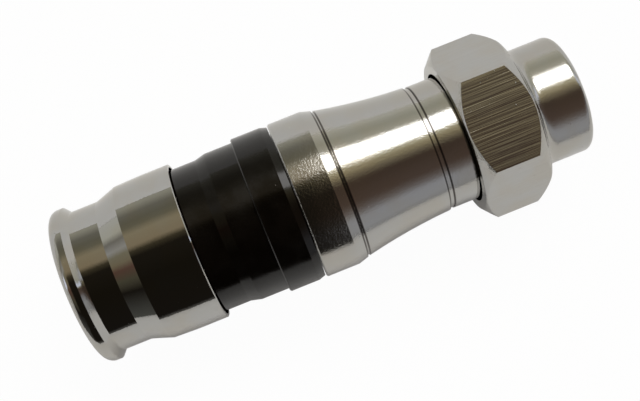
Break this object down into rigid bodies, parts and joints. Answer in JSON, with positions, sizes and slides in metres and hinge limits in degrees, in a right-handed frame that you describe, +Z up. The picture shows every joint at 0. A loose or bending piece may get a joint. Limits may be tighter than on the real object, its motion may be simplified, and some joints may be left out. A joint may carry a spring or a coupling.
{
  "type": "coaxial f connector",
  "caption": "Compression plug for thick coaxial cable: hexagonal coupling nut with a round threaded collar, flared metal body, black plastic ring and sliding crimp sleeve.",
  "frame": {"origin": "on the connector's axis, at the mouth of the coupling nut", "axes": "+X along the axis out of the nut's mouth, towards the port; +Z up, out of the nut's upper flat, with the connector lying on a table"},
  "size_m": [0.0489, 0.0166, 0.0148],
  "materials": {
    "nut_nickel": "satin nickel plating over drawn brass",
    "body_nickel": "nickel plating with a fine orange-peel texture",
    "bright_nickel": "bright polished nickel plating",
    "pin_plating": "bright gold flash over brass",
    "post_tin": "tin plating over brass",
    "black_plastic": "glossy black moulded plastic",
    "grey_plastic": "matte moulded plastic",
    "white_insulator": "matte natural polymer",
    "seal_rubber": "satin rubber"
  },
  "bodies": {
    "connector_body": {"front_body": "body_nickel", "rear_body": "black_plastic", "cable_post": "post_tin", "contact_ferrule": "bright_nickel", "front_insulator": "white_insulator", "contact_pin": "pin_plating", "rear_insulator": "white_insulator", "nut_seal": "seal_rubber"},
    "nut": {"coupling_nut": "nut_nickel"},
    "sleeve": {"compression_sleeve": "bright_nickel", "grip_bush": "grey_plastic"}
  },
  "joints": [
    {"name": "nut_spin", "type": "hinge", "parent": "connector_body", "child": "nut", "pos_m": [-0.008, 0, 0], "axis": [1, 0, 0], "continuous": true},
    {"name": "sleeve_press", "type": "slide", "parent": "connector_body", "child": "sleeve", "axis": [1, 0, 0], "range_m": [0, 0.00595]}
  ]
}
